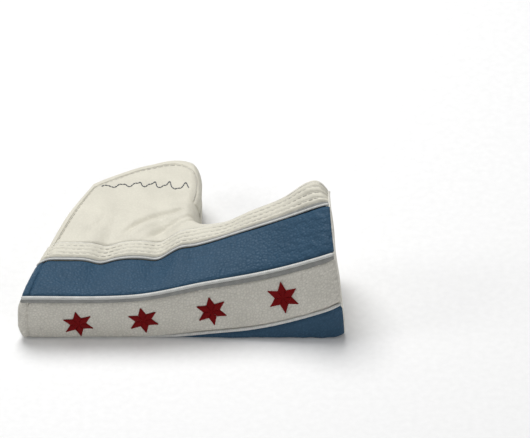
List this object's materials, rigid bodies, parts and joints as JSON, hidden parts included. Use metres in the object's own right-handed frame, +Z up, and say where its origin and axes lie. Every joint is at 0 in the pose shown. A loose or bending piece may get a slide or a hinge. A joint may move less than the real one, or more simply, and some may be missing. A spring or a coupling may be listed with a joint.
{
  "type": "putter head cover",
  "caption": "L-shaped padded leather cover for a blade putter head, with a striped sole band and a mouth whose two flaps fold back.",
  "frame": {"origin": "under the middle of the cover, on the surface that it lies on", "axes": "+X from heel to toe, +Y from the sole to the neck, +Z up through the side panel with the stitched wave"},
  "size_m": [0.1584, 0.1054, 0.0663],
  "materials": {
    "white_leather": "soft smooth grain, semi-matte",
    "band_leather": "pebbled grain, semi-matte",
    "blue_leather": "pebbled grain, semi-matte",
    "silver_piping": "satin covered cord",
    "white_piping": "smooth welt",
    "red_thread": "satin stitch embroidery",
    "grey_thread": "run stitch embroidery",
    "badge_thread": "filled embroidery patch",
    "fleece": "short fleece",
    "foam": "open-cell foam",
    "magnet_steel": "plated"
  },
  "bodies": {
    "shell": {"lower_blue_stripe": "blue_leather", "white_stripe": "band_leather", "upper_blue_stripe": "blue_leather", "top_border_strip": "white_leather", "bottom_border_strip": "white_leather", "lower_star_piping": "silver_piping", "upper_star_piping": "silver_piping", "top_border_piping": "silver_piping", "bottom_border_piping": "silver_piping", "top_panel_piping": "white_piping", "bottom_panel_piping": "white_piping", "toe_piping": "white_piping", "top_panel": "white_leather", "bottom_panel": "white_leather", "toe_gusset": "white_leather", "back_seam_welt": "white_piping", "sole_hem": "white_leather", "sole_foam": "foam", "top_foam": "foam", "bottom_foam": "foam", "toe_foam": "foam", "sole_lining": "fleece", "top_lining": "fleece", "bottom_lining": "fleece", "toe_lining": "fleece", "star_1": "red_thread", "star_2": "red_thread", "star_3": "red_thread", "star_4": "red_thread"},
    "top_flap": {"top_flap_leather": "white_leather", "top_flap_foam": "foam", "top_flap_lining": "fleece", "top_flap_hem": "white_leather", "top_flap_magnet_heel": "magnet_steel", "top_flap_magnet_neck": "magnet_steel", "wave_embroidery": "grey_thread"},
    "bottom_flap": {"bottom_flap_leather": "white_leather", "bottom_flap_foam": "foam", "bottom_flap_lining": "fleece", "bottom_flap_hem": "white_leather", "bottom_flap_magnet_heel": "magnet_steel", "bottom_flap_magnet_neck": "magnet_steel", "round_badge": "badge_thread"}
  },
  "joints": [
    {"name": "top_flap_open", "type": "hinge", "parent": "shell", "child": "top_flap", "pos_m": [-0.06409, -0.00843, 0.0287], "axis": [0.939, 0.3417, 0.0391], "range_deg": [0, 75]},
    {"name": "bottom_flap_open", "type": "hinge", "parent": "shell", "child": "bottom_flap", "pos_m": [-0.06409, -0.00843, 0], "axis": [0.9397, 0.3419, 0], "range_deg": [-75, 0]}
  ]
}
